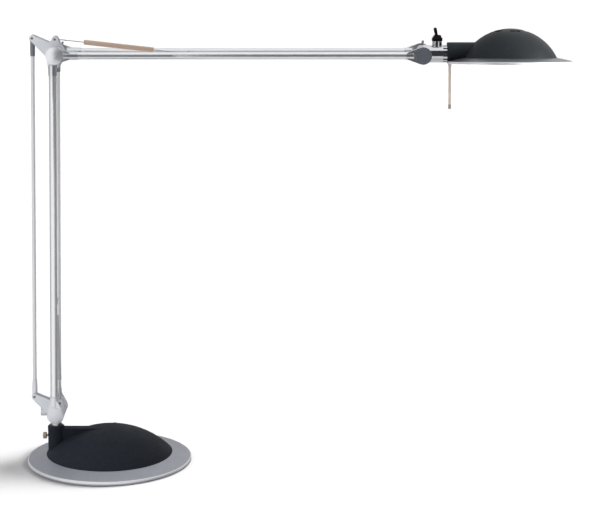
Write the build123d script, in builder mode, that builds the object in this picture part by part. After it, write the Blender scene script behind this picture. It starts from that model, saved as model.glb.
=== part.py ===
from build123d import *
import math
import os

# A balanced-arm desk lamp: a round weighted base, a post and an arm that are each a pair of
# tubes, a tie rod that keeps the elbow casting upright, and a shallow round head.
# Millimetres. The origin is the centre of the base on the table, +X runs towards the head,
# +Y away from the front, +Z up.

# ---- driving dimensions ----
base_radius = 110.0
pad_inset = 6.0               # the pad's edge inside the base's
pad_thickness = 1.5
plate_rim_top = 6.0
plate_edge_run = 1.5          # bevel round the plate's top edge
plate_edge_drop = 1.2
plate_shoulder = 4.0          # round where the plate meets the cover's seat
plate_sheet = 1.6
seat_height = 12.0            # top of the plate where the cover stands
cover_inset = 25.5            # the cover's edge inside the base's
cover_rise = 35.5             # dome apex above the seat
cover_wall = 2.5
ballast_gap = 0.3
ballast_inset = 4.0
ballast_shoulder = 2.0

tower_inset = 13.2            # the tower's axis inside the cover's edge
tower_radius = 11.2
tower_top = 49.6
tower_edge = 1.2
bridge_width = 13.0
bridge_top = 46.6
bush_radius = 8.5
bush_bottom = 24.0
bush_flange = 0.8
bush_flange_width = 1.0
stem_radius = 6.0
stem_collar_radius = 7.2
clamp_height = 35.3
clamp_shank_radius = 1.5
clamp_knob_radius = 4.5
clamp_knob_length = 5.0
clamp_knob_gap = 1.7          # between the tower and the knob
clamp_knob_round = 1.2
clamp_knurls = 12
clamp_knurl_radius = 0.7
clamp_groove_depth = 1.0
spigot_radius = 4.0           # stem's spigot in the foot casting
spigot_roof = 1.0             # metal between the spigot and the axle

pivot_height = 70.0           # post's foot pivot above the table
foot_forward = 2.3            # the foot pivot in front of the tower's axis, towards the head
post_length = 481.0           # pivot to pivot
post_lean = 1.22              # degrees from upright, towards the head
post_set_back = 2.0           # the post's tubes behind the line of their pivots
arm_length = 474.0            # pivot to pivot

tube_radius = 4.8
tube_wall = 1.0
tube_offset = 21.0            # each tube's distance from the lamp's middle plane
ear_radius = 11.2
ear_thickness = 4.4
socket_radius = 5.7
socket_mouth_radius = 5.4
socket_start = 12.0           # from the pivot, clear of the other member's ear
ear_neck = 16.0               # where the ear's web has narrowed to the socket
foot_socket_length = 26.0
top_socket_length = 26.0
elbow_socket_length = 31.0
head_socket_length = 22.0
socket_depth = 8.0            # how far a tube goes into its socket
terminal_screw_radius = 1.5
terminal_screw_stand = 3.4    # how far a terminal screw stands out of its ear
terminal_screw_seat = 2.0     # from the axle to the screw's tip
elbow_screw_heading = 62.0
head_screw_heading = 82.0
axle_radius = 3.0
washer_radius = 8.0
washer_thickness = 0.4
cap_radius = 10.0
cap_seat = 0.5
cap_brim_inset = 0.1          # brim of a domed cap inside its ear's edge
cap_brim = 0.5
cap_dome = 3.0                # how far a domed cap stands out
flat_cap = 1.1                # how far a flat cap stands out
flat_cap_edge = 0.4

casting_half = 6.5            # half thickness of the elbow and foot castings
casting_slot = 7.4            # slot that takes the tie rod's ends and the spring's hook
hub_radius = 11.0
lug_radius = 3.8
tie_lug = (-29.7, 20.6)       # tie rod pivots from the post's pivots, x and z
elbow_spring_lug = (-0.4, 19.0)
elbow_lug_radius = 4.0
foot_spring_lug = (4.1, 11.8)
foot_lug_radius = 5.0
foot_root = (-1.5, -4.0)      # the foot casting's root on the stem
foot_root_radius = 9.0
valley_round = 3.0            # between the two lugs
slot_reach = 23.0
spring_slot_reach = 8.0

tie_rod_radius = 2.45
tie_end_radius = 3.1
tie_end_length = 23.5
tie_foot_radius = 3.4
tie_foot_length = 23.5
tie_foot_mouth_wall = 0.4
tie_pin_radius = 1.5
spring_pin_radius = 1.4
pin_chamfer = 0.25

wire_radius = 0.6
wire_start = 0.15             # straight wire, outside the middle of its eye's wire
coil_radius = 2.6
sleeve_radius = 3.15
sleeve_wall = 0.4
coil_inset = 1.0              # coil's ends inside its sleeve's
arm_spring_anchor = 171.5     # from the elbow pivot, along the arm
arm_sleeve_from = 37.2        # from the spring lug, along the spring
arm_sleeve_to = 127.3
post_spring_anchor = 150.0
post_sleeve_from = 32.0
post_sleeve_to = 120.0
anchor_pin_radius = 2.0
anchor_grip = 1.0             # how far the anchor pin goes past the tube's inner wall

tension_knob_radius = 5.8
tension_knob_length = 9.4
tension_knob_drop = 1.0
tension_knob_round = 0.8
tension_knurls = 16
tension_knurl_radius = 0.6
knob_screw_radius = 1.5
tension_knob_left = 22.0      # outer face, left of the pivot

barrel_radius = 11.2
barrel_length = 31.8          # head pivot to the barrel's slotted end
barrel_slots = 14
barrel_slot_width = 2.0
barrel_slot_length = 5.2
barrel_slot_turn = 8.0
barrel_wall = 1.8
collar_wall = 1.4             # round the spindle, inside the slots
head_hub_radius = 10.0
spindle_radius = 6.0
spindle_bore = 3.5
spindle_length = 22.0
switch_offset = 19.0          # head pivot to the switch's axis
switch_radius = 6.2
switch_top = 16.7             # bushing's top above the barrel's axis
switch_body_bottom = -5.0
switch_wall = 1.0             # between the switch and the spindle's bore
switch_key = 1.6              # width of the key slots down the bushing
switch_cup_depth = 4.0
boot_radius = 6.9
boot_height = 7.3
boot_ring_height = 4.0
boot_waist = 6.0              # radius above the ring
boot_neck = 4.5               # radius at the top
boot_lip = 0.3
boot_ribs = 12
boot_rib_radius = 0.5
lever_pivot = 20.0            # above the barrel's axis
lever_tip = 34.0
lever_tilt = 13.0
lever_radius = 2.2
lever_root_radius = 1.7
lever_ball_radius = 2.9
lever_pin_radius = 0.8
lever_pin_half = 3.3

head_gap = 0.4                # between the barrel's end and the head's edge
head_roll = 6.0               # degrees, front edge up
head_radius = 81.5
dome_radius = 60.4
dome_foot = -5.2              # above the barrel's axis
dome_apex = 32.5
dome_wall = 2.0
flange_sheet = 1.2
flange_drop = 3.4             # from the dome's foot to the edge, straight share
flange_curl = 1.2             # and curved share
lip_height = 2.8
lip_thickness = 1.0
lip_edge = 0.7
lip_root = 0.2
shade_hole_radius = 43.0
shade_hole_top = -2.6
neck_radius = 12.5
neck_rise = 2.4               # neck's centre above the barrel's axis
vent_count = 5
vent_radius = 20.0
vent_length = 14.6
vent_width = 6.0
vent_turn = -78.5
reflector_wall = 0.8
reflector_flange_radius = 46.5
reflector_rim_radius = 39.5
reflector_depth = 20.0
reflector_bulge = 0.74        # share of the rim's radius at the bowl's knee
reflector_knee = 0.62         # share of the depth there
holder_radius = 8.5
holder_height = 8.5
holder_skirt = 1.0            # how far the holder goes into the reflector
bulb_seat_depth = 4.0
bulb_radius = 4.75
bulb_length = 17.0
glass_radius = 42.4
glass_thickness = 2.5
ring_radius = 49.0
ring_lip_radius = 40.5
ring_lip = 0.9
handle_inset = 3.5            # handle's axis inside the head's edge
handle_radius = 1.65
handle_length = 60.0
handle_socket_radius = 2.4
handle_socket_height = 5.0
handle_socket_lip = 0.5
handle_sink = 1.0             # how far the handle goes into the cover's edge
handle_tip_radius = 1.9
handle_tip_length = 6.0
handle_tip_round = 0.6

transformer_radius = 33.0
transformer_hole = 10.0
transformer_height = 21.0
transformer_x = 10.0
bolt_radius = 3.0
bolt_head_height = 4.5
bolt_washer_lip = 3.0
bolt_washer_thickness = 1.5
nut_height = 5.0
thread_end = 0.5              # bolt past its nut
cover_screw_inset = 22.5      # inside the cover's edge
cover_screw_head = 3.0
cover_screw_gap = 1.0         # between a screw's tip and the end of its hole
cover_screw_radius = 2.0
cover_screw_depth = 8.0
cover_boss_radius = 5.0
cover_screw_angles = (30.0, 150.0, 270.0)
gland_height = 20.0
gland_radius = 4.5
gland_flange_radius = 6.0
gland_bore = 3.2
gland_inset = 0.5             # the gland's face inside the cover's edge
gland_flange = 2.0
gland_length = 14.0
gland_boss_wall = 1.5
gland_boss_depth = 20.0

# ---- clearances ----
running = 0.05                # round parts that turn in one another
seat = 0.05                   # pieces fixed together
free = 0.3                    # pieces that pass one another

# ---- places worked out from the dimensions ----
arc_share = 0.6               # where a dome's arc takes its middle point
pad_radius = base_radius - pad_inset
cover_radius = base_radius - cover_inset
swivel_x = tower_inset - cover_radius
cover_screw_circle = cover_radius - cover_screw_inset
gland_y = cover_radius - gland_inset
head_offset = barrel_length + head_gap + head_radius
post_heading = 90.0 - post_lean
foot = (swivel_x + foot_forward, pivot_height)
elbow = (
    foot[0] + post_length * math.sin(math.radians(post_lean)),
    foot[1] + post_length * math.cos(math.radians(post_lean)),
)
head_pivot = (elbow[0] + arm_length, elbow[1])
foot_tie = (foot[0] + tie_lug[0], foot[1] + tie_lug[1])
elbow_tie = (elbow[0] + tie_lug[0], elbow[1] + tie_lug[1])
head_centre_x = head_pivot[0] + head_offset
washer_space = washer_thickness + 2 * seat
outer_ear = tube_offset + washer_space / 2
inner_ear = tube_offset - washer_space / 2 - ear_thickness
elbow_hub_half = inner_ear - washer_space
end_hub_half = outer_ear - washer_space
ear_face = outer_ear + ear_thickness
axle_half = ear_face - cap_seat - seat

os.makedirs("parts", exist_ok=True)


def save(builder, label):
    """Name a finished piece and write it to its own file."""
    builder.part.label = label
    export_step(builder.part, f"parts/{label}.step")


def view_plane(point, heading=0.0, y=0.0):
    """Plane facing the front at a point (x, z): local x along the heading, local y to its left."""
    turn = math.radians(heading)
    return Plane(
        origin=(point[0], y, point[1]),
        x_dir=(math.cos(turn), 0, math.sin(turn)),
        z_dir=(0, -1, 0),
    )


def cross_plane(point, heading, along=0.0, y=0.0):
    """Plane square to a member, a distance along it from a point (x, z)."""
    turn = math.radians(heading)
    return Plane(
        origin=(point[0] + along * math.cos(turn), y, point[1] + along * math.sin(turn)),
        x_dir=(0, 1, 0),
        z_dir=(math.cos(turn), 0, math.sin(turn)),
    )


def aside(point, heading, shift):
    """Point (x, z) moved to the left of a heading."""
    turn = math.radians(heading)
    return (point[0] - shift * math.sin(turn), point[1] + shift * math.cos(turn))


def link(start, start_radius, end, end_radius):
    """Outline of two round ends joined by the lines that touch both."""
    with BuildSketch(mode=Mode.PRIVATE) as outline:
        with Locations(start):
            Circle(start_radius)
        with Locations(end):
            Circle(end_radius)
        make_hull()
    return outline.sketch


def spun(points, plane=Plane.XZ):
    """Solid of revolution about the plane's own upright axis, from radius and height pairs."""
    with BuildPart(mode=Mode.PRIVATE) as solid:
        with BuildSketch(plane):
            with BuildLine():
                Polyline(*points, close=True)
            make_face()
        revolve(axis=Axis(plane.origin, plane.y_dir))
    return solid.part


# ---- base ----
def cover_dome(radius, rise, foot_height):
    """Solid cap of a sphere on a round foot, about the base's axis."""
    ball = (radius**2 + rise**2) / (2 * rise)
    mid = radius * arc_share
    mid_height = foot_height + rise - ball + math.sqrt(ball**2 - mid**2)
    with BuildPart(mode=Mode.PRIVATE) as dome:
        with BuildSketch(Plane.XZ):
            with BuildLine():
                Line((0, foot_height), (radius, foot_height))
                ThreePointArc((radius, foot_height), (mid, mid_height), (0, foot_height + rise))
                Line((0, foot_height + rise), (0, foot_height))
            make_face()
        revolve(axis=Axis.Z)
    return dome.part


gland_face = Plane.XZ.offset(-gland_y)
screw_places = [
    (cover_screw_circle * math.cos(math.radians(a)), cover_screw_circle * math.sin(math.radians(a)))
    for a in cover_screw_angles
]

with BuildPart() as base_pad:
    Cylinder(pad_radius, pad_thickness, align=(Align.CENTER, Align.CENTER, Align.MIN))
    fillet(base_pad.edges().group_by(Axis.Z)[0], pad_thickness * 0.4)
save(base_pad, "base_pad")

with BuildPart() as base_plate:
    with BuildSketch(Plane.XZ):
        with BuildLine():
            Polyline(
                (0, seat_height),
                (cover_radius, seat_height),
                (base_radius - plate_edge_run, plate_rim_top),
                (base_radius, plate_rim_top - plate_edge_drop),
                (base_radius, pad_thickness * 0.7),
                (base_radius - plate_sheet, pad_thickness * 0.7),
                (base_radius - plate_sheet, plate_rim_top - plate_sheet - plate_edge_drop / 2),
                (cover_radius - plate_sheet / 4, seat_height - plate_sheet),
                (0, seat_height - plate_sheet),
                close=True,
            )
        make_face()
    revolve(axis=Axis.Z)
    fillet(base_plate.edges().filter_by(GeomType.CIRCLE).group_by(Axis.Z)[-1], plate_shoulder)
    with Locations((transformer_x, 0)):
        Hole(bolt_radius + seat)
    with Locations(*screw_places):
        Hole(cover_screw_radius + seat)
save(base_plate, "base_plate")

ballast_top = seat_height - plate_sheet - seat
ballast_edge = base_radius - plate_sheet - ballast_inset
with BuildPart() as ballast:
    add(spun([
        (0, pad_thickness + seat),
        (ballast_edge, pad_thickness + seat),
        (ballast_edge, plate_rim_top - plate_sheet - ballast_gap),
        (cover_radius - ballast_shoulder, ballast_top),
        (0, ballast_top),
    ]))
    with Locations((transformer_x, 0, ballast_top)):
        Hole(bolt_radius + seat)
    with Locations((transformer_x, 0, pad_thickness)):
        Cylinder(
            2 * bolt_radius + 2 * free, bolt_head_height + 2 * free,
            align=(Align.CENTER, Align.CENTER, Align.MIN), mode=Mode.SUBTRACT,
        )
    with Locations(*[(x, y, ballast_top) for x, y in screw_places]):
        Hole(cover_screw_radius + seat)
    with Locations(*[(x, y, pad_thickness) for x, y in screw_places]):
        Cylinder(
            2 * cover_screw_radius + free, cover_screw_head + 2 * free,
            align=(Align.CENTER, Align.CENTER, Align.MIN), mode=Mode.SUBTRACT,
        )
save(ballast, "ballast")

with BuildPart() as cover_cavity:
    add(cover_dome(cover_radius - cover_wall, cover_rise - cover_wall, seat_height))
    with BuildSketch(Plane.XY.offset(seat_height)):
        with Locations((swivel_x, 0)):
            Circle(tower_radius + cover_wall)
        with Locations(*screw_places):
            Circle(cover_boss_radius)
    extrude(amount=cover_rise, mode=Mode.SUBTRACT)

with BuildPart() as base_cover:
    add(cover_dome(cover_radius, cover_rise, seat_height))
    with BuildSketch(Plane.XY.offset(seat_height)):
        with Locations((swivel_x, 0)):
            Circle(tower_radius)
    extrude(amount=tower_top - seat_height)
    chamfer(base_cover.faces().sort_by(Axis.Z)[-1].edges(), tower_edge)
    with BuildSketch(Plane.XY.offset(seat_height)):
        with Locations((swivel_x / 2, 0)):
            Rectangle(-swivel_x, bridge_width)
    extrude(amount=bridge_top - seat_height)
    with BuildSketch(gland_face):
        with Locations((0, gland_height)):
            Circle(gland_flange_radius + gland_boss_wall)
    extrude(amount=gland_boss_depth)
    add(cover_cavity.part, mode=Mode.SUBTRACT)
    with Locations(*[(x, y, seat_height) for x, y in screw_places]):
        Cylinder(
            cover_screw_radius + seat, cover_screw_depth,
            align=(Align.CENTER, Align.CENTER, Align.MIN), mode=Mode.SUBTRACT,
        )
    with Locations((swivel_x, 0, bush_bottom - seat)):
        Cylinder(
            bush_radius + seat, tower_top, align=(Align.CENTER, Align.CENTER, Align.MIN), mode=Mode.SUBTRACT
        )
    with BuildSketch(Plane.YZ.offset(swivel_x)):
        with Locations((0, clamp_height)):
            Circle(clamp_shank_radius + running)
    extrude(amount=-tower_radius - clamp_knob_gap, mode=Mode.SUBTRACT)
    with BuildSketch(gland_face):
        with Locations((0, gland_height)):
            Circle(gland_radius + seat)
    extrude(amount=gland_boss_depth + cover_wall, mode=Mode.SUBTRACT)
save(base_cover, "base_cover")

with BuildPart() as transformer:
    with Locations((transformer_x, 0, seat_height + seat)):
        Cylinder(transformer_radius, transformer_height, align=(Align.CENTER, Align.CENTER, Align.MIN))
    fillet(transformer.edges(), 7.0)
    with Locations((transformer_x, 0)):
        Hole(transformer_hole)
save(transformer, "transformer")

cover_screw_run = seat_height + cover_screw_depth - pad_thickness - cover_screw_gap
nut_bottom = seat_height + transformer_height + 2 * seat + bolt_washer_thickness
bolt_run = nut_bottom + nut_height + thread_end - pad_thickness - 2 * seat
with BuildPart() as base_screws:
    with Locations((transformer_x, 0, pad_thickness + 2 * seat)):
        Cylinder(bolt_radius * 2, bolt_head_height, align=(Align.CENTER, Align.CENTER, Align.MIN))
        Cylinder(bolt_radius, bolt_run, align=(Align.CENTER, Align.CENTER, Align.MIN))
    with Locations((transformer_x, 0, seat_height + transformer_height + 2 * seat)):
        Cylinder(
            transformer_hole + bolt_washer_lip, bolt_washer_thickness,
            align=(Align.CENTER, Align.CENTER, Align.MIN),
        )
    with BuildSketch(Plane.XY.offset(nut_bottom)):
        with Locations((transformer_x, 0)):
            RegularPolygon(bolt_radius * 1.8, 6)
    extrude(amount=nut_height)
    with Locations(*[(x, y, pad_thickness + 2 * seat) for x, y in screw_places]):
        Cylinder(cover_screw_radius * 2, cover_screw_head, align=(Align.CENTER, Align.CENTER, Align.MIN))
        Cylinder(cover_screw_radius, cover_screw_run, align=(Align.CENTER, Align.CENTER, Align.MIN))
save(base_screws, "base_screws")

with BuildPart() as cord_gland:
    with BuildSketch(gland_face.offset(-seat)):
        with Locations((0, gland_height)):
            Circle(gland_flange_radius)
    extrude(amount=-gland_flange)
    with BuildSketch(gland_face.offset(-seat)):
        with Locations((0, gland_height)):
            Circle(gland_radius)
    extrude(amount=gland_length)
    with BuildSketch(gland_face):
        with Locations((0, gland_height)):
            Circle(gland_bore)
    extrude(amount=gland_boss_depth, both=True, mode=Mode.SUBTRACT)
save(cord_gland, "cord_gland")

with BuildPart() as swivel_bush:
    add(spun([
        (stem_radius + running, bush_bottom),
        (bush_radius, bush_bottom),
        (bush_radius, tower_top + seat),
        (bush_radius + bush_flange_width, tower_top + seat),
        (bush_radius + bush_flange_width, tower_top + bush_flange),
        (stem_radius + running, tower_top + bush_flange),
    ], view_plane((swivel_x, 0))))
    with BuildSketch(Plane.YZ.offset(swivel_x)):
        with Locations((0, clamp_height)):
            Circle(clamp_shank_radius + running)
    extrude(amount=-tower_radius, mode=Mode.SUBTRACT)
save(swivel_bush, "swivel_bush")

# The clamp screw's tip runs in the stem's groove, holds the stem down and brakes the swivel.
clamp_tip = swivel_x - stem_radius + clamp_groove_depth - free
clamp_knob_right = swivel_x - tower_radius - clamp_knob_gap
with BuildPart() as clamp_screw:
    with BuildSketch(Plane.YZ.offset(clamp_knob_right)):
        with Locations((0, clamp_height)):
            Circle(clamp_shank_radius)
    extrude(amount=clamp_tip - clamp_knob_right)
    with BuildSketch(Plane.YZ.offset(clamp_knob_right)):
        with Locations((0, clamp_height)):
            Circle(clamp_knob_radius)
    extrude(amount=-clamp_knob_length)
    fillet(clamp_screw.edges().filter_by(GeomType.CIRCLE).group_by(SortBy.RADIUS)[-1], clamp_knob_round)
    with BuildSketch(Plane.YZ.offset(clamp_knob_right)):
        with Locations((0, clamp_height)):
            with PolarLocations(clamp_knob_radius + clamp_knurl_radius / 3, clamp_knurls):
                Circle(clamp_knurl_radius)
    extrude(amount=-clamp_knob_length, mode=Mode.SUBTRACT)
save(clamp_screw, "clamp_screw")

# ---- swivel: stem and foot casting ----
collar_bottom = tower_top + bush_flange + seat
spigot_top = pivot_height - axle_radius - spigot_roof
with BuildPart() as swivel_stem:
    groove = clamp_shank_radius + free
    add(spun([
        (0, bush_bottom + seat),
        (stem_radius, bush_bottom + seat),
        (stem_radius, clamp_height - groove),
        (stem_radius - clamp_groove_depth, clamp_height - groove),
        (stem_radius - clamp_groove_depth, clamp_height + groove),
        (stem_radius, clamp_height + groove),
        (stem_radius, collar_bottom),
        (stem_collar_radius, collar_bottom),
        (stem_collar_radius, pivot_height - hub_radius - seat),
        (0, pivot_height - hub_radius - seat),
    ], view_plane((swivel_x, 0))))
    with Locations((swivel_x, 0, spigot_top)):
        Cylinder(spigot_radius, spigot_top - collar_bottom, align=(Align.CENTER, Align.CENTER, Align.MAX))
save(swivel_stem, "swivel_stem")


def casting(pivot, hub_half, spring_lug, spring_lug_radius, foot_link=None):
    """Elbow or foot casting: a hub on the pivot, a lug for the tie rod and one for the spring.

    The lugs are slotted down their middle, so that the rod's end and the spring's hook swing
    between two cheeks.
    """
    with BuildPart(mode=Mode.PRIVATE) as body:
        with BuildSketch(view_plane(pivot)) as outline:
            add(link((0, 0), hub_radius, tie_lug, lug_radius))
            add(link((0, 0), hub_radius, spring_lug, spring_lug_radius))
            if foot_link:
                add(link((0, 0), hub_radius, foot_link[0], foot_link[1]))
            valley = outline.vertices().filter_by(
                lambda v: tie_lug[0] / 2 < v.X < -lug_radius / 2 and v.Y > hub_radius
            )
            fillet(valley, valley_round)
        extrude(amount=casting_half, both=True)
        with BuildSketch(view_plane(pivot)):
            with Locations(tie_lug):
                Circle(slot_reach)
            with Locations(spring_lug):
                Circle(spring_slot_reach)
        extrude(amount=casting_slot / 2, both=True, mode=Mode.SUBTRACT)
        with BuildSketch(view_plane(pivot)):
            Circle(hub_radius)
        extrude(amount=hub_half, both=True)
        with BuildSketch(view_plane(pivot)):
            with Locations(spring_lug):
                Circle(spring_pin_radius + 2 * wire_radius + 2 * free)
        extrude(amount=casting_slot / 2, both=True, mode=Mode.SUBTRACT)
        with BuildSketch(view_plane(pivot)):
            Circle(axle_radius + seat)
            with Locations(tie_lug):
                Circle(tie_pin_radius + seat)
            with Locations(spring_lug):
                Circle(spring_pin_radius + seat)
        extrude(amount=2 * hub_half, both=True, mode=Mode.SUBTRACT)
    return body.part


knob_face = foot[0] - tension_knob_left
knob_height = pivot_height - tension_knob_drop
with BuildPart() as foot_casting:
    add(casting(foot, end_hub_half, foot_spring_lug, foot_lug_radius, (foot_root, foot_root_radius)))
    with BuildSketch(Plane.YZ.offset(foot[0])):
        with Locations((0, knob_height)):
            Circle(knob_screw_radius + running)
    extrude(amount=-tension_knob_left, mode=Mode.SUBTRACT)
    with BuildSketch(Plane.YZ.offset(knob_face - free)):
        with Locations((0, knob_height)):
            Circle(tension_knob_radius + free)
    extrude(amount=tension_knob_length + 2 * free, mode=Mode.SUBTRACT)
    with Locations((swivel_x, 0, spigot_top + seat)):
        Cylinder(
            spigot_radius + seat, hub_radius,
            align=(Align.CENTER, Align.CENTER, Align.MAX), mode=Mode.SUBTRACT,
        )
    with Locations((swivel_x, 0, pivot_height - hub_radius)):
        Cylinder(
            hub_radius + casting_half, hub_radius,
            align=(Align.CENTER, Align.CENTER, Align.MAX), mode=Mode.SUBTRACT,
        )
save(foot_casting, "foot_casting")

with BuildPart() as elbow_casting:
    add(casting(elbow, elbow_hub_half, elbow_spring_lug, elbow_lug_radius))
save(elbow_casting, "elbow_casting")


def cross_pins(label, half_length, pins):
    """Plain pins across the lamp, each from its point (x, z) and its radius."""
    with BuildPart() as group:
        for point, radius in pins:
            with BuildSketch(view_plane(point)):
                Circle(radius)
            extrude(amount=half_length, both=True)
        chamfer(group.edges().filter_by(GeomType.CIRCLE), pin_chamfer)
    save(group, label)


foot_hook = (foot[0] + foot_spring_lug[0], foot[1] + foot_spring_lug[1])
elbow_hook = (elbow[0] + elbow_spring_lug[0], elbow[1] + elbow_spring_lug[1])
cross_pins("foot_axle", axle_half, [(foot, axle_radius)])
cross_pins("elbow_axle", axle_half, [(elbow, axle_radius)])
cross_pins("head_axle", axle_half, [(head_pivot, axle_radius)])
cross_pins("foot_pins", casting_half, [(foot_tie, tie_pin_radius), (foot_hook, spring_pin_radius)])
cross_pins("elbow_pins", casting_half, [(elbow_tie, tie_pin_radius), (elbow_hook, spring_pin_radius)])


def washers(label, pivot, inner_faces):
    """Thin washers on an axle, mirrored front and rear."""
    with BuildPart() as rings:
        for face in inner_faces:
            for side in (-1, 1):
                with BuildSketch(view_plane(pivot, y=side * (face + seat))):
                    Circle(washer_radius)
                    Circle(axle_radius + seat, mode=Mode.SUBTRACT)
                extrude(amount=-side * washer_thickness)
    save(rings, label)


washers("foot_washers", foot, [end_hub_half])
washers("elbow_washers", elbow, [elbow_hub_half, inner_ear + ear_thickness])
washers("head_washers", head_pivot, [end_hub_half])

# Tension knob: its screw presses on the axle inside the foot casting's hub.
with BuildPart() as tension_knob:
    with BuildSketch(Plane.YZ.offset(knob_face)):
        with Locations((0, knob_height)):
            Circle(tension_knob_radius)
    extrude(amount=tension_knob_length)
    fillet(tension_knob.edges(), tension_knob_round)
    with BuildSketch(Plane.YZ.offset(knob_face)):
        with Locations((0, knob_height)):
            with PolarLocations(tension_knob_radius + tension_knurl_radius / 3, tension_knurls):
                Circle(tension_knurl_radius)
    extrude(amount=tension_knob_length, mode=Mode.SUBTRACT)
    with BuildSketch(Plane.YZ.offset(knob_face + tension_knob_length)):
        with Locations((0, knob_height)):
            Circle(knob_screw_radius)
    extrude(amount=tension_knob_left - tension_knob_length - axle_radius - free)
save(tension_knob, "tension_knob")


# ---- tubes, sockets and caps of the post and the arm ----
def tube(label, pivot, heading, length, start, end, side, anchor, shift=0.0):
    """Drawn tube of the post or arm, with a hole in its inner wall for the spring's anchor pin."""
    line = aside(pivot, heading, shift)
    with BuildPart() as pipe:
        with BuildSketch(cross_plane(line, heading, start, side * tube_offset)):
            Circle(tube_radius)
            Circle(tube_radius - tube_wall, mode=Mode.SUBTRACT)
        extrude(amount=length - start - end)
        with BuildSketch(view_plane(line, heading, side * tube_offset)):
            with Locations((anchor, 0)):
                Circle(anchor_pin_radius + seat)
        extrude(amount=side * tube_offset, mode=Mode.SUBTRACT)
    save(pipe, label)


def socket(label, pivot, heading, length, side, ear_at, screw_heading=None, shift=0.0):
    """Die-cast end of a tube: a flat ear on the pivot that narrows into a round socket."""
    line = aside(pivot, heading, shift)
    capped = ear_at > tube_offset - ear_thickness / 2
    with BuildPart() as end:
        with BuildSketch(view_plane(pivot, heading, side * ear_at)):
            add(link((0, 0), ear_radius, (ear_neck, shift), socket_radius))
        extrude(amount=-side * ear_thickness)
        with BuildSketch(cross_plane(line, heading, socket_start, side * tube_offset)):
            Circle(socket_radius)
        with BuildSketch(cross_plane(line, heading, length, side * tube_offset)):
            Circle(socket_mouth_radius)
        loft()
        with BuildSketch(cross_plane(line, heading, length, side * tube_offset)):
            Circle(tube_radius + seat)
        extrude(amount=-socket_depth - seat, mode=Mode.SUBTRACT)
        with BuildSketch(view_plane(pivot, heading)):
            Circle(axle_radius + running)
        extrude(amount=-2 * side * tube_offset, mode=Mode.SUBTRACT)
        if capped:
            with BuildSketch(view_plane(pivot, heading, side * ear_face)):
                Circle(cap_radius + seat)
            extrude(amount=side * cap_seat, mode=Mode.SUBTRACT)
        if screw_heading is not None:
            screw_from = axle_radius + terminal_screw_seat - seat
            with BuildSketch(
                cross_plane(pivot, screw_heading, screw_from, side * (ear_at + ear_thickness / 2))
            ):
                Circle(terminal_screw_radius + seat)
            extrude(amount=ear_radius, mode=Mode.SUBTRACT)
    save(end, label)


for place, side in (("front", -1), ("rear", 1)):
    back = post_set_back
    socket(f"post_foot_{place}", foot, post_heading, foot_socket_length, side, outer_ear, shift=back)
    socket(f"post_top_{place}", elbow, post_heading + 180, top_socket_length, side, inner_ear, shift=-back)
    rear_screw = elbow_screw_heading if side > 0 else None
    socket(f"arm_elbow_{place}", elbow, 0.0, elbow_socket_length, side, outer_ear, rear_screw)
    rear_screw = head_screw_heading if side > 0 else None
    socket(f"arm_end_{place}", head_pivot, 180.0, head_socket_length, side, outer_ear, rear_screw)
    tube(
        f"post_tube_{place}", foot, post_heading, post_length,
        foot_socket_length - socket_depth, top_socket_length - socket_depth, side, post_spring_anchor, back,
    )
    tube(
        f"arm_tube_{place}", elbow, 0.0, arm_length,
        elbow_socket_length - socket_depth, head_socket_length - socket_depth, side, arm_spring_anchor,
    )


def cap(pivot, side, domed):
    """Cover disc pressed into an outer ear: a brimmed shallow dome, or flat with a bevelled edge."""
    plane = Plane(
        origin=(pivot[0], side * ear_face, pivot[1]), x_dir=(1, 0, 0), z_dir=(0, 0, side)
    )
    brim = ear_radius - cap_brim_inset
    ball = (brim**2 + (cap_dome - cap_brim) ** 2) / (2 * (cap_dome - cap_brim))
    mid = brim * arc_share
    mid_height = seat + cap_dome - ball + math.sqrt(ball**2 - mid**2)
    with BuildPart(mode=Mode.PRIVATE) as disc:
        with BuildSketch(plane):
            with BuildLine():
                Polyline((0, seat - cap_seat), (cap_radius, seat - cap_seat), (cap_radius, seat))
                if domed:
                    Polyline((cap_radius, seat), (brim, seat), (brim, seat + cap_brim))
                    ThreePointArc((brim, seat + cap_brim), (mid, mid_height), (0, seat + cap_dome))
                    Line((0, seat + cap_dome), (0, seat - cap_seat))
                else:
                    Polyline(
                        (cap_radius, seat), (cap_radius, flat_cap - flat_cap_edge),
                        (cap_radius - flat_cap_edge, flat_cap), (0, flat_cap), (0, seat - cap_seat),
                    )
            make_face()
        revolve(axis=Axis(plane.origin, plane.y_dir))
    return disc.part


with BuildPart() as post_caps:
    for side in (-1, 1):
        add(cap(foot, side, domed=True))
save(post_caps, "post_caps")

with BuildPart() as arm_caps:
    for side in (-1, 1):
        add(cap(elbow, side, domed=True))
        add(cap(head_pivot, side, domed=False))
save(arm_caps, "arm_caps")

with BuildPart() as terminal_screws:
    screw_from = axle_radius + terminal_screw_seat
    for pivot, heading in ((elbow, elbow_screw_heading), (head_pivot, head_screw_heading)):
        with BuildSketch(cross_plane(pivot, heading, screw_from, outer_ear + ear_thickness / 2)):
            Circle(terminal_screw_radius)
        extrude(amount=ear_radius + terminal_screw_stand - screw_from)
save(terminal_screws, "terminal_screws")


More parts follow.
